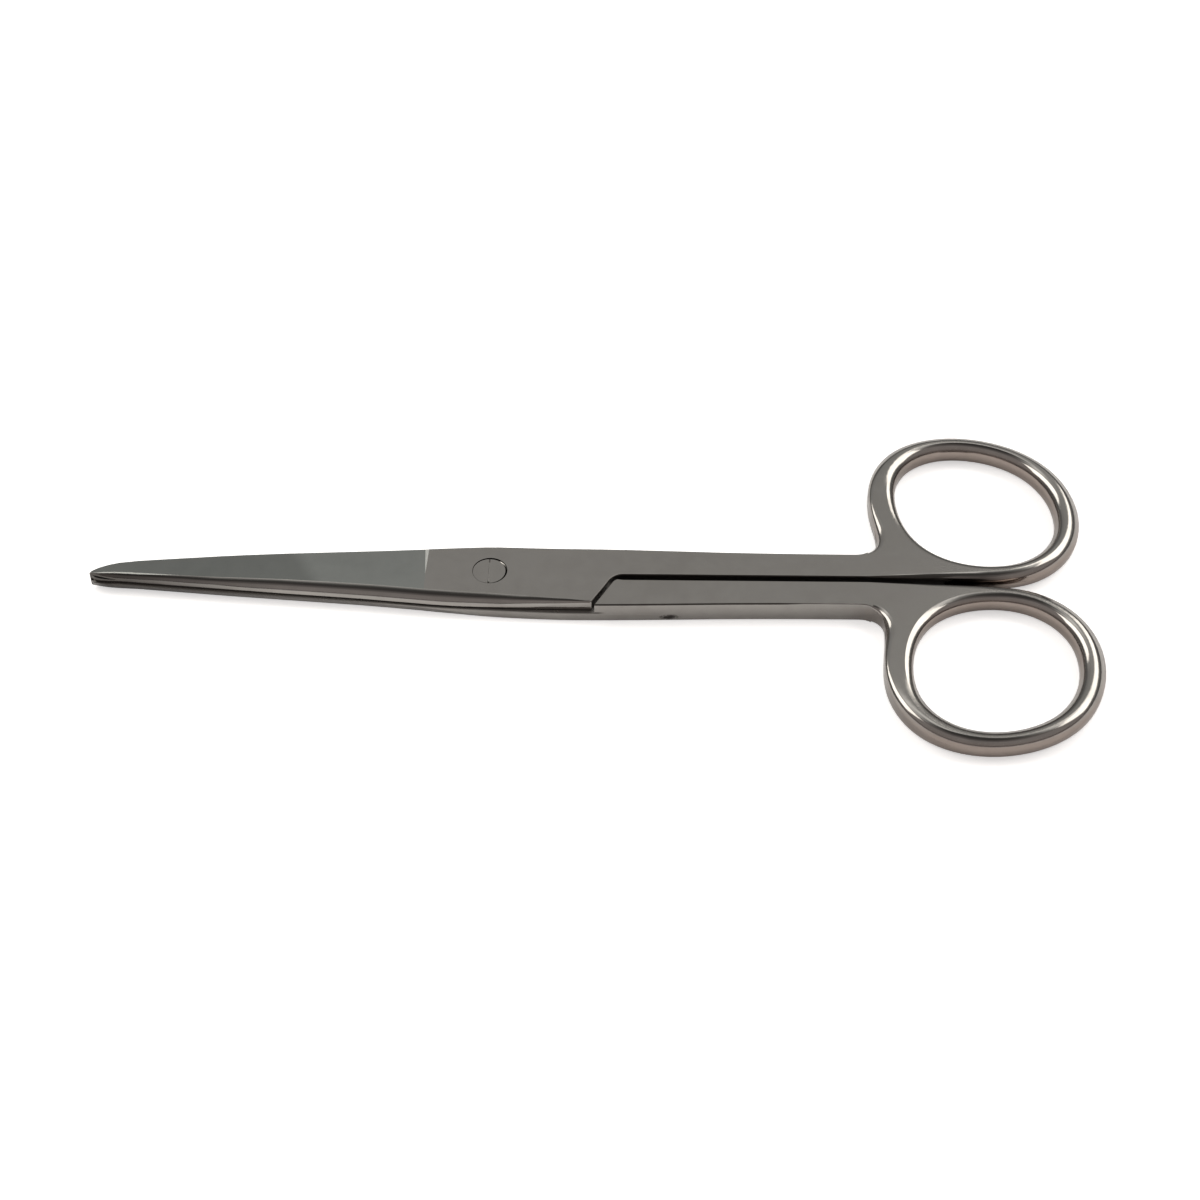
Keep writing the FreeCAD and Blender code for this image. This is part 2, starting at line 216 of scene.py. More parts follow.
# %% Steps of the room light
# Each step is the height on the sky, as the sine of its angle, and the light there
behind_steps = [
    (0.0, 0.22), (0.20, 0.20), (0.42, 0.46),
    (0.70, 0.55), (0.79, 0.66), (0.87, 1.60), (0.93, 0.50), (0.98, 0.10),
]
front_steps = [(0.0, 0.70), (0.08, 0.20), (0.25, 0.46), (0.70, 0.44), (0.88, 0.22), (0.97, 0.09)]
behind_tint = (1.0, 0.985, 0.955)
front_tint = (1.0, 0.91, 0.88)


def sky_ramp(tree, place, steps, tint):
    """Colour ramp over the height on the sky."""
    ramp = add_node(tree, "ShaderNodeValToRGB", place)
    ramp.color_ramp.interpolation = "EASE"
    stops = ramp.color_ramp.elements
    while len(stops) < len(steps):
        stops.new(1.0)
    for stop, (height, level) in zip(stops, steps):
        stop.position = height
        stop.color = (level * tint[0], level * tint[1], level * tint[2], 1)
    return ramp


print("room light: steps behind", len(behind_steps), "and in front", len(front_steps))

# %% [markdown]
# The two ramps are blended by how far a direction points to the back. The camera itself sees plain
# white past the table's edge.

# %% Room light
all_front = -0.12
all_behind = 0.25
backdrop_white = (1, 1, 1, 1)

world = bpy.data.worlds.new("studio")
bpy.context.scene.world = world
world.use_nodes = True
tree = world.node_tree
tree.nodes.clear()
direction = add_node(tree, "ShaderNodeTexCoord", (-5, 0))
split = add_node(tree, "ShaderNodeSeparateXYZ", (-4, 0))
behind = sky_ramp(tree, (-3, 1), behind_steps, behind_tint)
front = sky_ramp(tree, (-3, -1), front_steps, front_tint)
side = fade(tree, (-3, 2), split.outputs["Y"], all_front, all_behind)
blend = add_node(tree, "ShaderNodeMix", (-1, 0), data_type="RGBA")
seen = add_node(tree, "ShaderNodeLightPath", (-2, 3))
backdrop = add_node(tree, "ShaderNodeMix", (-0.5, 1), data_type="RGBA")
backdrop.inputs["B"].default_value = backdrop_white
sky = add_node(tree, "ShaderNodeBackground", (0, 0))
output = add_node(tree, "ShaderNodeOutputWorld", (1, 0))
connect(
    tree,
    (direction.outputs["Generated"], split.inputs[0]),
    (split.outputs["Z"], behind.inputs[0]),
    (split.outputs["Z"], front.inputs[0]),
    (side, blend.inputs["Factor"]),
    (front.outputs[0], blend.inputs["A"]),
    (behind.outputs[0], blend.inputs["B"]),
    (blend.outputs["Result"], backdrop.inputs["A"]),
    (seen.outputs["Is Camera Ray"], backdrop.inputs["Factor"]),
    (backdrop.outputs["Result"], sky.inputs["Color"]),
    (sky.outputs[0], output.inputs["Surface"]),
)
print("world:", world.name)

# %% [markdown]
# Two soft boxes stand left and right of the table. Their reflections are the bright streaks on the
# sides of the rings. They are area lamps, which light the steel softly and show in it as rectangles.

# %% Soft boxes
box_distance = 0.95
box_level = 3.3
box_colour = (1.0, 0.965, 0.91)


def soft_box(name, turn, rise, width, height):
    """Rectangular lamp that faces the scissors. turn is its angle from straight behind, to the right."""
    around = math.radians(turn)
    up = math.radians(rise)
    level_part = math.cos(up)
    towards = Vector((math.sin(around) * level_part, math.cos(around) * level_part, math.sin(up)))
    place = towards * box_distance
    lamp = bpy.data.lights.new(name, "AREA")
    lamp.shape = "RECTANGLE"
    lamp.size = width
    lamp.size_y = height
    lamp.energy = box_level * math.pi * width * height
    lamp.color = box_colour
    box = bpy.data.objects.new(name, lamp)
    box.location = place
    box.rotation_euler = (-place).to_track_quat("-Z", "Y").to_euler()
    bpy.context.scene.collection.objects.link(box)
    return box


left_box = soft_box("left soft box", turn=-69, rise=39, width=0.92, height=0.50)
right_box = soft_box("right soft box", turn=61, rise=40, width=0.95, height=0.50)
print("lamps:", left_box.name, "and", right_box.name)

# %% [markdown]
# ## Steel
#
# All three pieces are the same kind of steel, but not the same finish. The tops and walls are polished
# along their length, and the blades were ground as well, which leaves them a shade cooler. Fine lines
# of polishing and cloudy traces of handling are on both, so each is one node group that every steel
# uses with its own values.

# %% Start a node group
def new_group(name, inputs, outputs):
    """Empty shader node group with named inputs and outputs, and its two end nodes."""
    group = bpy.data.node_groups.new(name, "ShaderNodeTree")
    for socket, kind, value in inputs:
        made = group.interface.new_socket(socket, in_out="INPUT", socket_type=kind)
        made.default_value = value
    for socket, kind in outputs:
        group.interface.new_socket(socket, in_out="OUTPUT", socket_type=kind)
    begin = add_node(group, "NodeGroupInput", (-6, 0))
    end = add_node(group, "NodeGroupOutput", (8, 0))
    return group, begin, end


print("helper:", new_group.__name__)

# %% [markdown]
# A polishing belt leaves fine parallel lines. A noise texture makes them when it changes slowly along
# X and quickly across it, so the group stretches the coordinates before the noise reads them. Along
# and Across say how often the lines change in a metre.

# %% Polishing lines
line_detail = 3.0
line_roughness = 0.6

grain, begin, end = new_group(
    "polishing lines",
    [
        ("Vector", "NodeSocketVector", (0, 0, 0)),
        ("Along", "NodeSocketFloat", 60.0),
        ("Across", "NodeSocketFloat", 6000.0),
    ],
    [("Lines", "NodeSocketFloat")],
)
apart = add_node(grain, "ShaderNodeSeparateXYZ", (-5, 0))
joined = add_node(grain, "ShaderNodeCombineXYZ", (-3, 0))
for row, (axis, stretch) in enumerate([("X", "Along"), ("Y", "Across"), ("Z", "Across")]):
    stretched = combine(grain, (-4, 1 - row), "MULTIPLY", apart.outputs[axis], begin.outputs[stretch])
    grain.links.new(stretched, joined.inputs[axis])
streaks = add_node(grain, "ShaderNodeTexNoise", (-2, 0))
streaks.inputs["Scale"].default_value = 1.0
streaks.inputs["Detail"].default_value = line_detail
streaks.inputs["Roughness"].default_value = line_roughness
connect(
    grain,
    (begin.outputs["Vector"], apart.inputs[0]),
    (joined.outputs[0], streaks.inputs["Vector"]),
    (streaks.outputs["Fac"], end.inputs["Lines"]),
)
print("group:", grain.name)

# %% [markdown]
# Handling leaves broad, faint clouds where the polish has gone a little dull. Two noises of very
# different size are multiplied, so the traces are neither regular nor all of one size.

# %% Traces of handling
cloud_detail = 4.0
speck_detail = 6.0
speck_fineness = 7.0
bare_until = 0.16
dull_from = 0.40

traces, begin, end = new_group(
    "traces of handling",
    [("Vector", "NodeSocketVector", (0, 0, 0)), ("Size", "NodeSocketFloat", 60.0)],
    [("Dull", "NodeSocketFloat")],
)
cloud = add_node(traces, "ShaderNodeTexNoise", (-4, 1))
cloud.inputs["Detail"].default_value = cloud_detail
speck = add_node(traces, "ShaderNodeTexNoise", (-4, -1))
speck.inputs["Detail"].default_value = speck_detail
finer = combine(traces, (-5, -1), "MULTIPLY", begin.outputs["Size"], speck_fineness)
mixed = combine(traces, (-2, 0), "MULTIPLY", cloud.outputs["Fac"], speck.outputs["Fac"])
connect(
    traces,
    (begin.outputs["Vector"], cloud.inputs["Vector"]),
    (begin.outputs["Vector"], speck.inputs["Vector"]),
    (begin.outputs["Size"], cloud.inputs["Scale"]),
    (finer, speck.inputs["Scale"]),
    (fade(traces, (0, 0), mixed, bare_until, dull_from), end.inputs["Dull"]),
)
print("group:", traces.name)

# %% [markdown]
# Along the blades shade falls into the seam between the halves, and it is painted into the colour as a
# dark. The painted shade is deepest at the seam, fades down the lower wall and stops soon above it.
# Towards the nose the painted shade spreads over the whole wall. It could be painted on a texture, but
# a mask worked out from the place on the steel needs no image: the height over the seam is divided by
# how far the dark reaches, and below the seam that grows towards the tip.

# %% Painted shade of the seam
seam_height = (frame_low[2] + frame_high[2]) / 2
seam_below = 0.30 * mm
seam_above = 0.18 * mm
widening = (-40.0 * mm, -12.0 * mm)
widest = 3.6
seam_end = (15.5 * mm, 16.5 * mm)
nose_fade = (-52.0 * mm, -30.0 * mm)
nose_dark = 0.75

seam, begin, end = new_group(
    "dark of the seam",
    [
        ("Vector", "NodeSocketVector", (0, 0, 0)),
        ("Height", "NodeSocketFloat", seam_height),
        ("Below", "NodeSocketFloat", seam_below),
        ("Above", "NodeSocketFloat", seam_above),
    ],
    [("Dark", "NodeSocketFloat")],
)
place = add_node(seam, "ShaderNodeSeparateXYZ", (-6, 2))
seam.links.new(begin.outputs["Vector"], place.inputs[0])
over_seam = combine(seam, (-4, 1), "SUBTRACT", place.outputs["Z"], begin.outputs["Height"])
widen = fade(seam, (-5, 3), place.outputs["X"], *widening, widest, 1.0)
reach_below = combine(seam, (-4, 3), "MULTIPLY", widen, begin.outputs["Below"])
lower_share = combine(seam, (-3, 2), "DIVIDE", over_seam, reach_below)
upper_share = combine(seam, (-3, 0), "DIVIDE", over_seam, begin.outputs["Above"])
lower_side = fade(seam, (-2, 2), lower_share, -1.0, 0.0)
upper_side = fade(seam, (-2, 0), upper_share, 0.0, 1.0, 1.0, 0.0)
near_seam = combine(seam, (0, 1), "MULTIPLY", lower_side, upper_side)
before_seam_end = fade(seam, (-2, -2), place.outputs["X"], *seam_end, 1.0, 0.0)
blade_dark = combine(seam, (2, 0), "MULTIPLY", near_seam, before_seam_end)
nose_side = fade(seam, (-2, -4), place.outputs["X"], *nose_fade, nose_dark, 0.0)
print("group:", seam.name)

# %% [markdown]
# The near wall of the lower shank has one small dark spot, about 25 mm behind the screw. It is the
# inside of a squashed ball, and a fine noise is added to the distance from its centre, so that its edge
# is frayed. It goes into the same group, so that one mask holds all the dark.

# %% Dark spot on the near wall
spot_centre = (25.5 * mm, -6.1 * mm, 0.7 * mm)
spot_squash = (520, 200, 1500)
spot_noise = 2600.0
spot_edge = (0.75, 1.35)
spot_dark = 0.95

from_spot = add_node(seam, "ShaderNodeVectorMath", (-4, -6), operation="SUBTRACT")
from_spot.inputs[1].default_value = spot_centre
squashed = add_node(seam, "ShaderNodeVectorMath", (-3, -6), operation="MULTIPLY")
squashed.inputs[1].default_value = spot_squash
away = add_node(seam, "ShaderNodeVectorMath", (-2, -6), operation="LENGTH")
ragged = add_node(seam, "ShaderNodeTexNoise", (-3, -8))
ragged.inputs["Scale"].default_value = spot_noise
frayed = combine(seam, (-1, -6), "ADD", away.outputs["Value"], ragged.outputs["Fac"])
spot = fade(seam, (0, -6), frayed, *spot_edge, spot_dark, 0.0)
connect(
    seam,
    (begin.outputs["Vector"], from_spot.inputs[0]),
    (begin.outputs["Vector"], ragged.inputs["Vector"]),
    (from_spot.outputs[0], squashed.inputs[0]),
    (squashed.outputs[0], away.inputs[0]),
)
print("scuff at x in mm:", round(spot_centre[0] / mm, 1))

# %% [markdown]
# Between the shanks runs a gap in deep shade, which is painted black and fades out where the rings
# part. Most of that painted shade comes from the black of its walls, which a later step gives face by
# face. That would end with a ragged edge, so the end is this soft mask: it begins and stops along X,
# keeps below the top and stays beside the line on which the halves part.

# %% End of the gap between the shanks
parting_line = -1.0 * mm
gap_starts = (62.0 * mm, 64.5 * mm)
gap_stops = (69.0 * mm, 74.5 * mm)
gap_top = (2.8 * mm, 3.1 * mm)
gap_side = (2.2 * mm, 3.0 * mm)

off_line = combine(seam, (-4, -16), "SUBTRACT", place.outputs["Y"], parting_line)
to_line = combine(seam, (-3, -16), "ABSOLUTE", off_line)
gap_start = fade(seam, (-2, -10), place.outputs["X"], *gap_starts)
gap_stop = fade(seam, (-2, -12), place.outputs["X"], *gap_stops, 1.0, 0.0)
below_top = fade(seam, (-2, -14), place.outputs["Z"], *gap_top, 1.0, 0.0)
beside_line = fade(seam, (-2, -16), to_line, *gap_side, 1.0, 0.0)
gap_along = combine(seam, (0, -11), "MULTIPLY", gap_start, gap_stop)
gap_across = combine(seam, (0, -15), "MULTIPLY", below_top, beside_line)
gap = combine(seam, (2, -13), "MULTIPLY", gap_along, gap_across)

blade_or_nose = combine(seam, (4, 0), "MAXIMUM", blade_dark, nose_side)
or_spot = combine(seam, (5, -2), "MAXIMUM", blade_or_nose, spot)
or_gap = combine(seam, (6, -4), "MAXIMUM", or_spot, gap)
seam.links.new(or_gap, end.inputs["Dark"])
print("nodes in the group:", len(seam.nodes))

# %% [markdown]
# The walls of the rings mirror a warmer part of the room than the rest. That painted reflection is a
# tint multiplied into the polished steel's colour there, and the group's painted shade and dark spot
# are mixed over it. A function that takes a colour and gives one back keeps this apart from the making
# of a steel.

# %% Colour over the polished steel
ring_reflection_tint = (0.90, 0.80, 0.76, 1)
ring_starts = (50.0 * mm, 62.0 * mm)
ring_top = (3.1 * mm, 2.5 * mm)
# Colour of the painted shade at the seam, the nose and the gap, and of the dark spot
seam_colour = (0.020, 0.016, 0.014, 1)
seam_strength = 0.95


def reflection_tint_and_shade(tree, where, colour):
    """Colour with a painted warm reflection on the walls of the rings, and the group's painted shade and
    dark spot over it.
    """
    apart = add_node(tree, "ShaderNodeSeparateXYZ", (-6, 5))
    on_ring = fade(tree, (-5, 5), apart.outputs["X"], *ring_starts)
    off_top = fade(tree, (-5, 7), apart.outputs["Z"], *ring_top)
    warmth = combine(tree, (-4, 6), "MULTIPLY", on_ring, off_top)
    warm = add_node(tree, "ShaderNodeMix", (-2, 5), data_type="RGBA", blend_type="MULTIPLY")
    warm.inputs["B"].default_value = ring_reflection_tint
    shade = add_node(tree, "ShaderNodeGroup", (-6, 3), node_tree=seam)
    share = combine(tree, (-4, 3), "MULTIPLY", shade.outputs["Dark"], seam_strength)
    shaded = add_node(tree, "ShaderNodeMix", (-1, 2), data_type="RGBA")
    shaded.inputs["B"].default_value = seam_colour
    connect(
        tree,
        (where, apart.inputs[0]),
        (where, shade.inputs["Vector"]),
        (warmth, warm.inputs["Factor"]),
        (colour, warm.inputs["A"]),
        (share, shaded.inputs["Factor"]),
        (warm.outputs["Result"], shaded.inputs["A"]),
    )
    return shaded.outputs["Result"]


print("ring reflection tint:", ring_reflection_tint[:3])

# %% [markdown]
# The ground top of the blade is darker on the nose's side of a slanted line, a painted reflection of
# another part of the room. The mask is a smooth step over X, slanted by a share of Y.

# %% Colour over the ground steel
tone_slant = 0.55
tone_line = (-27.5 * mm, -24.5 * mm)
nose_tone = 0.76


def painted_reflection_tones(tree, where, colour):
    """Colour with a painted reflection, darker on the nose's side of a slanted line."""
    apart = add_node(tree, "ShaderNodeSeparateXYZ", (-6, 3))
    slanted = combine(tree, (-5, 3), "MULTIPLY_ADD", apart.outputs["Y"], tone_slant, apart.outputs["X"])
    share = fade(tree, (-4, 3), slanted, *tone_line, nose_tone, 1.0, interpolation_type="SMOOTHSTEP")
    scaled = add_node(tree, "ShaderNodeVectorMath", (-1, 2), operation="SCALE")
    connect(
        tree,
        (where, apart.inputs[0]),
        (colour, scaled.inputs[0]),
        (share, scaled.inputs["Scale"]),
    )
    return scaled.outputs[0]


print("tone on the nose's side:", nose_tone)

# %% [markdown]
# A steel is then a Principled shader, fully metallic, whose roughness moves a little with both
# groups and whose normal is stirred by the lines. The same function makes every steel.

# %% Make a steel
line_share = 0.35
relief_strength = 0.25


def steel(name, bright, dark, smooth, dull, along, across, depth, overlay=None):
    """Steel between two colours and two roughnesses, with polishing lines along X."""
    material = bpy.data.materials.new(name)
    material.use_nodes = True
    tree = material.node_tree
    shader = tree.nodes["Principled BSDF"]
    shader.inputs["Metallic"].default_value = 1.0
    where = add_node(tree, "ShaderNodeTexCoord", (-8, 0)).outputs["Object"]
    lines = add_node(tree, "ShaderNodeGroup", (-6, 1), node_tree=grain)
    lines.inputs["Along"].default_value = along
    lines.inputs["Across"].default_value = across
    marks = add_node(tree, "ShaderNodeGroup", (-6, -1), node_tree=traces)
    worn = marks.outputs["Dull"]
    tone = add_node(tree, "ShaderNodeMix", (-3, 1), data_type="RGBA")
    tone.inputs["A"].default_value = bright
    tone.inputs["B"].default_value = dark
    together = combine(tree, (-4, 0), "MULTIPLY_ADD", lines.outputs["Lines"], line_share, worn)
    relief = add_node(tree, "ShaderNodeBump", (-2, -2))
    relief.inputs["Strength"].default_value = relief_strength
    relief.inputs["Distance"].default_value = depth
    colour = tone.outputs["Result"]
    if overlay:
        colour = overlay(tree, where, colour)
    connect(
        tree,
        (where, lines.inputs["Vector"]),
        (where, marks.inputs["Vector"]),
        (worn, tone.inputs["Factor"]),
        (lines.outputs["Lines"], relief.inputs["Height"]),
        (colour, shader.inputs["Base Color"]),
        (fade(tree, (-3, -1), together, 0.0, 1.0, smooth, dull), shader.inputs["Roughness"]),
        (relief.outputs["Normal"], shader.inputs["Normal"]),
    )
    return material


print("helper:", steel.__name__)

# %% [markdown]
# The run-out of the grind is coarse, and its lighter colour is a painted highlight. The hidden inner
# faces are taken to be duller than the polished steel, which is a guess. The narrow walls between the
# shanks lie in deep shade, and a black is painted there for it. The same black is painted shade and
# painted dark reflection in a few more places.

# %% The steels of the scissors
polished = steel(
    "polished steel",
    bright=(0.320, 0.308, 0.292, 1), dark=(0.285, 0.273, 0.258, 1), smooth=0.10, dull=0.16,
    along=60, across=6000, depth=0.003 * mm, overlay=reflection_tint_and_shade,
)
ground = steel(
    "ground blade steel",
    bright=(0.300, 0.311, 0.298, 1), dark=(0.268, 0.279, 0.268, 1), smooth=0.09, dull=0.14,
    along=90, across=5000, depth=0.003 * mm, overlay=painted_reflection_tones,
)
inner = steel(
    "inner face steel",
    bright=(0.36, 0.35, 0.335, 1), dark=(0.30, 0.29, 0.28, 1), smooth=0.22, dull=0.32,
    along=120, across=5000, depth=0.02 * mm,
)
# Rougher for the coarse grind; the lighter colour is a painted highlight, here and at the nose's rim
coarse_and_highlight = steel(
    "coarse steel with painted highlight",
    bright=(0.47, 0.475, 0.455, 1), dark=(0.42, 0.425, 0.405, 1), smooth=0.36, dull=0.46,
    along=300, across=12000, depth=0.02 * mm,
)
# Painted shade in the gap, the seat and the screw, and painted dark reflection on a rim
shade_and_reflection_black = steel(
    "painted black of shade and reflection",
    bright=(0.070, 0.065, 0.060, 1), dark=(0.048, 0.044, 0.041, 1), smooth=0.36, dull=0.50,
    along=200, across=900, depth=0.02 * mm,
)
finishes = [polished, ground, inner, coarse_and_highlight, shade_and_reflection_black]
print("steels:", [material.name for material in finishes])

# %% [markdown]
# ## Halves
#
# Each half comes as loose triangles, one surface with one finish. Its parts could be selected by hand.
# Here small rules on where a face lies and where it looks give each face its finish. Most of them hold
# for both halves, because the lower one is the upper one turned over. The first rule is for what the
# grinding wheel touched: the outer face of the blade, the run-out where the grind ends in front of the
# joint, and the inner faces in the middle of the thickness. Tilts are the Z part of a face's normal.

# %% Faces that the wheel ground
grind_start = -9.2 * mm
run_out_reach = 0.8 * mm
run_out_tilt = (0.985, 0.997)
ground_tilt = 0.99
inner_tilt = -0.5
lap_slack = 0.25 * mm


def ground_finish(place, outward):
    """Finish of a face that the wheel touched, or None."""
    if run_out_tilt[0] < outward < run_out_tilt[1] and abs(place.x - grind_start) < run_out_reach:
        return coarse_and_highlight
    if outward > ground_tilt and place.x < grind_start:
        return ground
    if outward < inner_tilt and abs(place.z - seam_height) < lap_slack:
        return inner
    return None


print("grind ends at x in mm:", round(grind_start / mm, 1))

# %% [markdown]
# The second rule is for the walls of the gap between the shanks, which get the black of painted shade.
# They look towards the parting line and lie close to it. The flattest part of the rims above them is
# left out, so that the black band keeps a clean edge. Near the joint the step at the shoulder belongs to
# the painted shade of the gap, with nearly its whole rim, because a light line would stay beside the
# black otherwise.

# %% Walls of the gap
toe_end = 9.0 * mm
shank_end = 65.0 * mm
gap_reach = 4.0 * mm
gap_turn = 0.3
gap_rim = 0.92
step_end = 20.0 * mm
step_turn = 0.2
step_rim = 0.995
least_slope = 0.001


def faces_gap(place, normal, half):
    """Whether a face is a wall of the gap or of the step at the shoulder."""
    slope = math.hypot(normal.x, normal.y)
    to_gap = -normal.y * half / max(slope, least_slope)
    wall = to_gap > gap_turn and abs(place.y - parting_line) < gap_reach and abs(normal.z) < gap_rim
    step = to_gap > step_turn and abs(normal.x) > step_turn and abs(normal.z) < step_rim
    shoulder = step and place.x < step_end
    return (wall or shoulder) and toe_end < place.x < shank_end


print("gap from x in mm:", round(toe_end / mm), "to", round(shank_end / mm))

# %% [markdown]
# Two more places get the painted black. One is the wall of the screw's seat on its right and far side,
# where painted shade shows as a thin sickle beside the head. The other is the rounded rim along the
# near side of the lower shank, where a painted dark reflection reads as a thin dark line. At the nose
# the opposite happens: the near rim catches the light, so it takes the bright, coarse steel as a
# painted highlight.

# %% Sickle, rim and glint
seat_reach = 2.8 * mm
seat_tilt = 0.5
seat_side = 0.4 * mm
seat_right = 0.3 * mm
rim_tilt = (0.1, 0.995)
near_edge = -4.0 * mm
arm_start = 44.0 * mm
glint_tilt = (0.93, 0.9985)
glint_end = -47.0 * mm


def on_sickle(place, normal):
    """Whether a face is on the wall of the screw's seat, on its right or far side."""
    in_seat = math.hypot(place.x, place.y) < seat_reach and abs(normal.z) < seat_tilt
    return in_seat and place.x + place.y > seat_side and place.x > seat_right


def on_near_rim(place, normal, half):
    """Whether a face is on the rounded rim along the near side of the lower shank."""
    rounded = rim_tilt[0] < normal.z < rim_tilt[1]
    return half < 0 and rounded and place.y < near_edge and toe_end < place.x < arm_start


def on_glint(place, outward):
    """Whether a face is on the near rim of the nose."""
    return glint_tilt[0] < outward < glint_tilt[1] and place.x < glint_end and place.y < 0


print("near rim ends at x in mm:", round(arm_start / mm))

# %% [markdown]
# The rules are asked one after another, and the first that holds decides. What is left is polished.

# %% Which finish a face has
def finish_of(face, half):
    """Index of the finish of one face. half is 1 for the upper half and -1 for the turned lower one."""
    place = face.calc_center_median()
    normal = face.normal
    outward = normal.z * half
    wheel = ground_finish(place, outward)
    if wheel:
        return finishes.index(wheel)
    if faces_gap(place, normal, half) or on_sickle(place, normal) or on_near_rim(place, normal, half):
        return finishes.index(shade_and_reflection_black)
    if on_glint(place, outward):
        return finishes.index(coarse_and_highlight)
    return finishes.index(polished)


print("finishes to choose from:", len(finishes))

# %% [markdown]
# The real nose is rounded off in a long curve on its far side. The solids keep nearly straight sides
# until close to the tip. A cut with a boolean would leave a hard new edge, so the vertices beyond the
# nose's start are drawn towards a line along the blade instead, which keeps the length.

# %% The rounded nose
nose_line = -0.86 * mm
nose_start = -50.0 * mm
nose_power = 0.55
nose_least = 0.1


def reshape_tip(metal):
    """Draws the far side of the nose towards the nose's line, nearly like a quarter of an ellipse."""
    for vertex in metal.verts:
        past = nose_start - vertex.co.x
        beside = vertex.co.y - nose_line
        if past > 0 and beside > 0:
            share = min(past / (nose_start - frame_low[0]), 1.0)
            narrow = max(1 - share ** 2, 0.0) ** nose_power
            vertex.co.y = nose_line + beside * max(narrow, nose_least)


print("nose of", round((nose_start - frame_low[0]) / mm, 1), "mm")

# %% [markdown]
# The tops of the real rings look gently domed, where the solid has a narrow flat. Only the shading is
# bent for that: each normal leans outwards by its distance from the middle of the ring's rod, most on
# the free side of the ring and not at all where the ring meets the shank. The middle of the rod is a
# slightly slanted oval, written as a circle with a few waves on it.

# %% Where a point lies on a ring
ring_x = 70.37 * mm
ring_y = 15.46 * mm
rod_radius = 13.54 * mm
slant_wave = -0.56 * mm
three_wave = 0.10 * mm
four_wave = -0.17 * mm
rod_half_width = 1.71 * mm
width_wave = 0.19 * mm
arm_wave = -0.11 * mm


def ring_place(point, half):
    """Angle round the ring in degrees, distance from the rod's middle in half widths, outward direction."""
    across = point.x - ring_x
    up = (point.y - parting_line) * half - ring_y
    angle = math.atan2(up, across)
    waves = slant_wave * math.sin(2 * angle) + three_wave * math.cos(3 * angle)
    middle = rod_radius + waves + four_wave * math.cos(4 * angle)
    half_width = rod_half_width + width_wave * math.cos(2 * angle) + arm_wave * math.cos(angle)
    share = (math.hypot(across, up) - middle) / half_width
    outward = Vector((math.cos(angle), math.sin(angle) * half, 0))
    return math.degrees(angle), share, outward


print("ring of about", round(2 * (rod_radius - rod_half_width) / mm, 1), "mm inside")

# %% [markdown]
# The lean fades in after the root of the ring and fades out before its arm. It is written into the
# mesh as custom normals, one for each corner of each face.

# %% Domed rings
dome = 0.75
root_degrees = -84
arm_degrees = 172
lean_fade = 30
rod_edge = 1.02


def free_side(degrees):
    """1 on the free side of the ring, fading to 0 where it meets the shank."""
    after_root = (degrees - root_degrees) / lean_fade
    before_arm = (arm_degrees - degrees) / lean_fade
    return min(max(min(after_root, before_arm), 0.0), 1.0)


def dome_ring(mesh, half):
    """Leans the normals of the ring's rod outwards from its middle."""
    normals = [Vector(corner.vector) for corner in mesh.corner_normals]
    leaning = 0
    for loop in mesh.loops:
        point = mesh.vertices[loop.vertex_index].co
        degrees, share, outward = ring_place(point, half)
        normal = normals[loop.index]
        if abs(share) < rod_edge:
            lean = dome * free_side(degrees) * share * abs(normal.z)
            normals[loop.index] = (normal + outward * lean).normalized()
            leaning += lean != 0
    mesh.normals_split_custom_set(normals)
    print("leaning normals:", leaning, "of", len(normals))


print("dome:", dome)

# %% [markdown]
# A copy of each node is merged, so that neighbouring triangles share their corners and can be shaded
# smoothly. The copy then stands for the node it was made from, and the node itself stays as it came.

# %% Merged copy of a node
weld_distance = 0.0000005


def merged_copy(node, name, looks):
    """Copy of a node's mesh with its finishes, and a bmesh of it in which the triangles are joined."""
    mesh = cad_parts[node].data.copy()
    mesh.name = name
    mesh.materials.clear()
    for look in looks:
        mesh.materials.append(look)
    metal = bmesh.new()
    metal.from_mesh(mesh)
    bmesh.ops.remove_doubles(metal, verts=metal.verts, dist=weld_distance)
    bmesh.ops.dissolve_degenerate(metal, edges=metal.edges, dist=weld_distance)
    return mesh, metal


def shown_piece(mesh, metal, name):
    """Object that shows the reworked mesh."""
    metal.to_mesh(mesh)
    metal.free()
    piece = bpy.data.objects.new(name, mesh)
    bpy.context.scene.collection.objects.link(piece)
    return piece


print("helpers:", merged_copy.__name__, shown_piece.__name__)

# %% [markdown]
# A crease is kept wherever two faces meet at a real edge, and where a flat top ends, even if the next
# face is only a few degrees off. The normals are weighted by face area, so that the large flats stay
# flat and only the narrow bands of a rounding bend the reflections. The modifier that does this is
# applied, because the domed rings go on from its normals.

# %% Creases and weighted normals
crease = math.radians(23)
flat_crease = math.radians(4)
flat_tilt = 0.9998
area_weight = 100


def mark_creases(metal):
    """Marks the edges that stay sharp."""
    for edge in metal.edges:
        flats = sum(abs(face.normal.z) > flat_tilt for face in edge.link_faces)
        angle = edge.calc_face_angle(0)
        edge.smooth = angle < crease and not (flats == 1 and angle > flat_crease)


def weigh_normals(piece):
    """Weights the piece's normals by face area and keeps them in its mesh."""
    weighted = piece.modifiers.new("flats stay flat", "WEIGHTED_NORMAL")
    weighted.mode = "FACE_AREA"
    weighted.weight = area_weight
    weighted.keep_sharp = True
    bpy.context.view_layer.update()
    evaluated = piece.evaluated_get(bpy.context.evaluated_depsgraph_get())
    shaded = bpy.data.meshes.new_from_object(evaluated)
    shaded.name = piece.name
    piece.modifiers.clear()
    piece.data = shaded


print("crease in degrees:", round(math.degrees(crease)))

# %% [markdown]
# Each half rides with its own body, an empty that it is parented to. One function finishes both,
# because they have the same form.

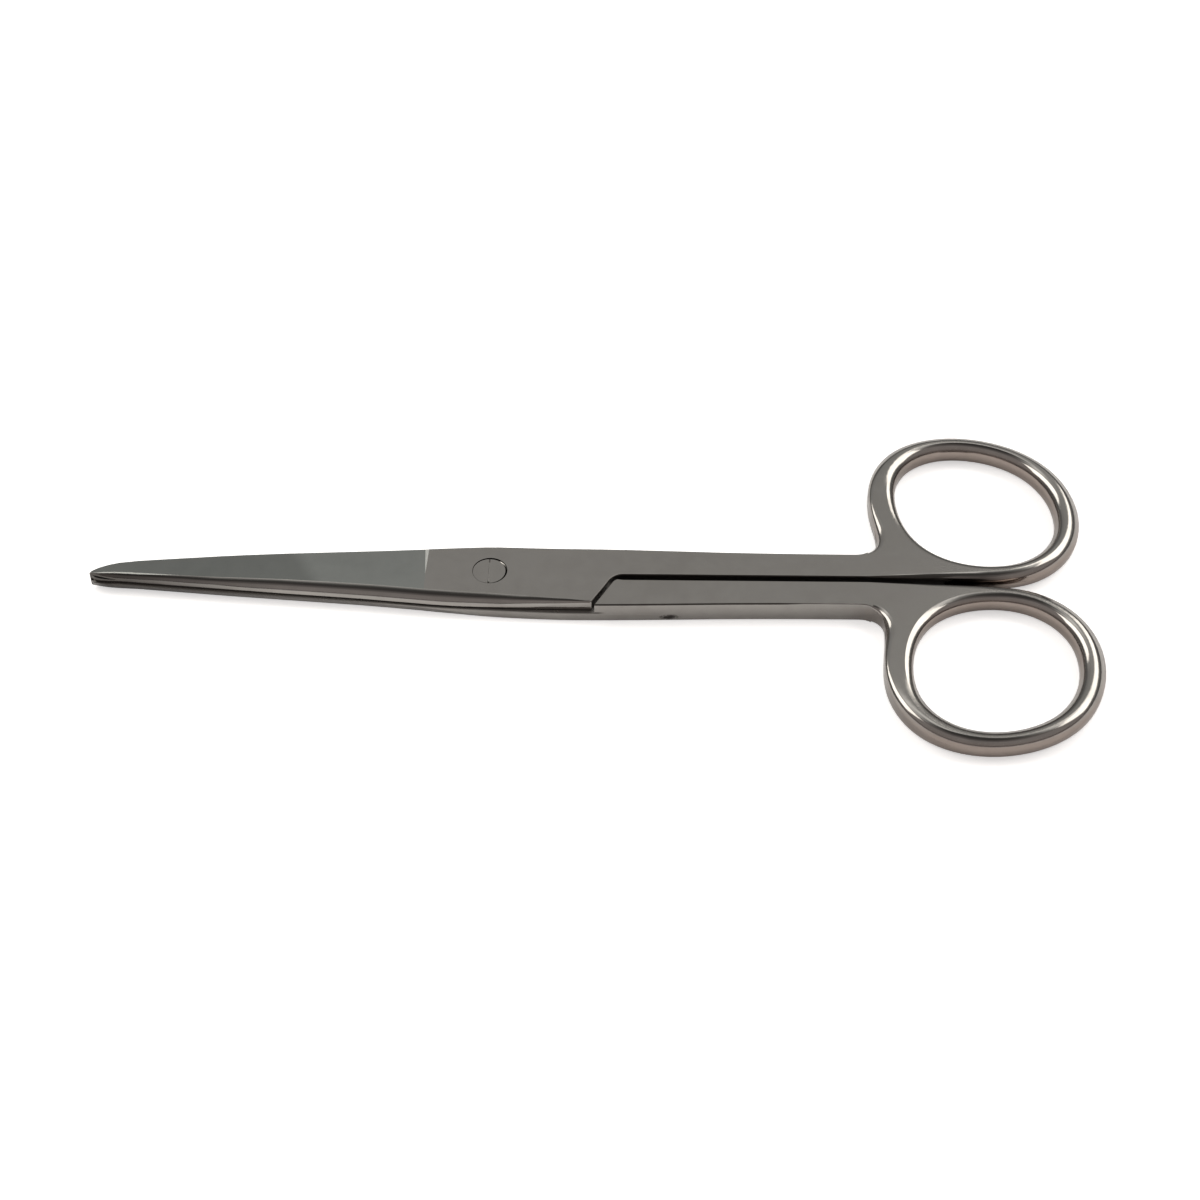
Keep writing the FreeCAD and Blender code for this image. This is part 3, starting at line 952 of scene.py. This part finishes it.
# %% Finish the halves
def finished_half(node, name, body, half):
    """Merged, smoothly shaded copy of one half, riding with its body."""
    mesh, metal = merged_copy(node, name, finishes)
    metal.normal_update()
    for face in metal.faces:
        face.smooth = True
        face.material_index = finish_of(face, half)
    reshape_tip(metal)
    metal.normal_update()
    mark_creases(metal)
    counts = [sum(face.material_index == index for face in metal.faces) for index in range(len(finishes))]
    piece = shown_piece(mesh, metal, name)
    weigh_normals(piece)
    dome_ring(piece.data, half)
    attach(piece, body)
    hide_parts(node)
    print(name, "faces of each finish:", counts)
    return piece


upper_half = finished_half("upper_half", "upper_half_finished", "upper", 1)
lower_half = finished_half("lower_half", "lower_half_finished", "lower", -1)

# %% [markdown]
# ## Screw
#
# The screw is ground flush with the joint, so only its slot and its rim can be seen. Its head is a
# little smaller than its seat and sits a hair off centre, which shows as a dark sickle of painted shade
# on one side. The side of the head gets the black of painted shade too. The slot is a fine line with
# painted shade at its near end, which is parted from the rest of the slot by a cut across the mesh,
# because a face has only one finish.

# %% Finishes of the screw
screw_finishes = [polished, inner, shade_and_reflection_black]
slot_half = 0.15 * mm
slot_end = -1.75 * mm
rim_reach = 2.3 * mm
rim_steep = 0.9
hair = 0.01 * mm
cut_distance = 0.0000001


def screw_finish(face, top):
    """Finish of one face of the screw, whose highest point is top."""
    place = face.calc_center_median()
    # The side of the head and the near end of the slot get the black of painted shade
    if math.hypot(place.x, place.y) > rim_reach and abs(face.normal.z) < rim_steep:
        return shade_and_reflection_black
    if place.z < top - hair and abs(place.x) < slot_half + hair:
        return shade_and_reflection_black if place.y < slot_end else inner
    return polished


def cut_slot_end(metal):
    """Cuts the faces in two where the dark end of the slot begins."""
    everything = metal.verts[:] + metal.edges[:] + metal.faces[:]
    bmesh.ops.bisect_plane(
        metal, geom=everything, dist=cut_distance, plane_co=(0, slot_end, 0), plane_no=(0, 1, 0)
    )


print("slot end at y in mm:", round(slot_end / mm, 2))

# %% [markdown]
# The head is made smaller and shifted by moving its vertices. Those of the slot move closer together
# than the rest, but for its near end, which makes the slot finer there.

# %% Finish the screw
head_bottom = 1.9 * mm
head_shift = Vector((-0.10, -0.10, 0)) * mm
head_share = 0.95
slot_share = 0.5


def shift_head(metal):
    """Makes the head smaller and its slot finer, and moves it off centre."""
    for vertex in metal.verts:
        if vertex.co.z > head_bottom:
            in_slot = abs(vertex.co.x) < slot_half + hair and vertex.co.y > slot_end - hair
            narrow = slot_share if in_slot else head_share
            vertex.co.x = vertex.co.x * narrow + head_shift.x
            vertex.co.y = vertex.co.y * head_share + head_shift.y


def finished_screw():
    """Merged copy of the screw with a smaller head off centre and a fine slot with a dark end."""
    mesh, metal = merged_copy("joint_screw", "joint_screw_finished", screw_finishes)
    cut_slot_end(metal)
    metal.normal_update()
    top = max(vertex.co.z for vertex in metal.verts)
    for face in metal.faces:
        face.smooth = True
        face.material_index = screw_finishes.index(screw_finish(face, top))
    shift_head(metal)
    for edge in metal.edges:
        edge.smooth = edge.calc_face_angle(0) < crease
    dark_faces = sum(face.material_index > 0 for face in metal.faces)
    print("screw faces:", len(metal.faces), "of them dark:", dark_faces)
    piece = shown_piece(mesh, metal, "joint_screw_finished")
    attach(piece, "lower")
    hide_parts("joint_screw")
    return piece


screw = finished_screw()

# %% [markdown]
# ## Sizes
#
# The looks must not change the size of the scissors. The box of the frame and the box of the
# finished model are put side by side, and the largest difference between them is printed.

# %% Compare the two boxes and finish
bpy.context.view_layer.update()
model_low, model_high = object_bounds()
boxes = {
    "frame": [list(frame_low), list(frame_high)],
    "model": [list(model_low), list(model_high)],
}
frame_box = boxes["frame"][0] + boxes["frame"][1]
model_box = boxes["model"][0] + boxes["model"][1]
print("largest difference in mm:", round(max(abs(a - b) * 1000 for a, b in zip(frame_box, model_box)), 4))
